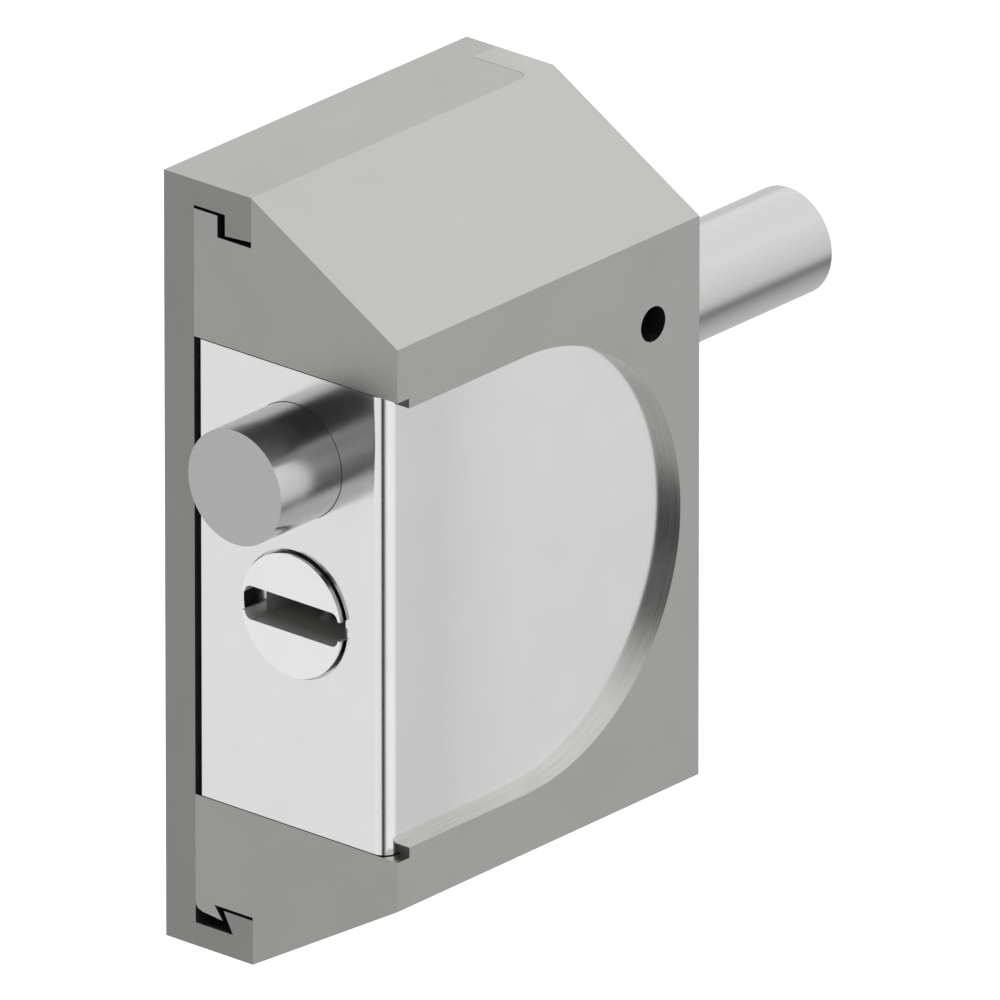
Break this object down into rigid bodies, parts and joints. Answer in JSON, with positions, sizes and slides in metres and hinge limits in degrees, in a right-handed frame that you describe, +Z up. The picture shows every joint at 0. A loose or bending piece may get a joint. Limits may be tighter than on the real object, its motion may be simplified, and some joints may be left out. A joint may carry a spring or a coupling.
{
  "type": "roller shutter lock",
  "caption": "Armoured side lock for a roller shutter: hooked back plate, sloped steel housing, D-shaped lock block with a key plug, and a round sliding bolt.",
  "frame": {"origin": "centre of the back face of the back plate, which lies flat on the shutter", "axes": "+X along the bolt in its throwing direction, +Y out of the back into the shutter (the front faces -Y), +Z up"},
  "size_m": [0.0863, 0.0311, 0.084],
  "materials": {
    "plate_steel": "satin grey zinc and lacquer on steel",
    "housing_steel": "satin grey zinc and lacquer on steel",
    "block_steel": "fine ground, nickel plated",
    "bolt_steel": "turned and polished",
    "rotor_steel": "turned, nickel plated",
    "hard_steel": "hardened, ground",
    "pin_brass": "turned",
    "seal_rubber": "matt"
  },
  "bodies": {
    "root": {"back_plate": "plate_steel", "housing": "housing_steel", "fixing_pin": "hard_steel", "lock_block": "block_steel", "block_cover": "housing_steel", "cover_screws": "hard_steel", "block_pin": "hard_steel", "guide_pin": "hard_steel", "bolt_seal": "seal_rubber", "drill_guard_pins": "hard_steel", "driver_pins": "pin_brass", "pin_springs": "hard_steel", "chamber_plugs": "pin_brass"},
    "sliding_bolt": {"bolt": "bolt_steel"},
    "key_rotor": {"rotor": "rotor_steel", "rotor_washer": "hard_steel", "rotor_clip": "hard_steel", "crank_pin": "hard_steel", "key_pins": "hard_steel"},
    "sliding_latch": {"latch": "hard_steel"}
  },
  "joints": [
    {"name": "bolt_slide", "type": "slide", "parent": "root", "child": "sliding_bolt", "axis": [1, 0, 0], "range_m": [-0.052, 0]},
    {"name": "rotor_turn", "type": "hinge", "parent": "root", "child": "key_rotor", "pos_m": [-0.02335, -0.0175, -0.0018], "axis": [1, 0, 0], "range_deg": [0, 180]},
    {"name": "latch_slide", "type": "slide", "parent": "root", "child": "sliding_latch", "axis": [0, 0, 1], "range_m": [0, 0.0025]}
  ],
  "couplings": [
    {"joint": "latch_slide", "follows": "rotor_turn", "m_per_rad": 0.00079577}
  ]
}
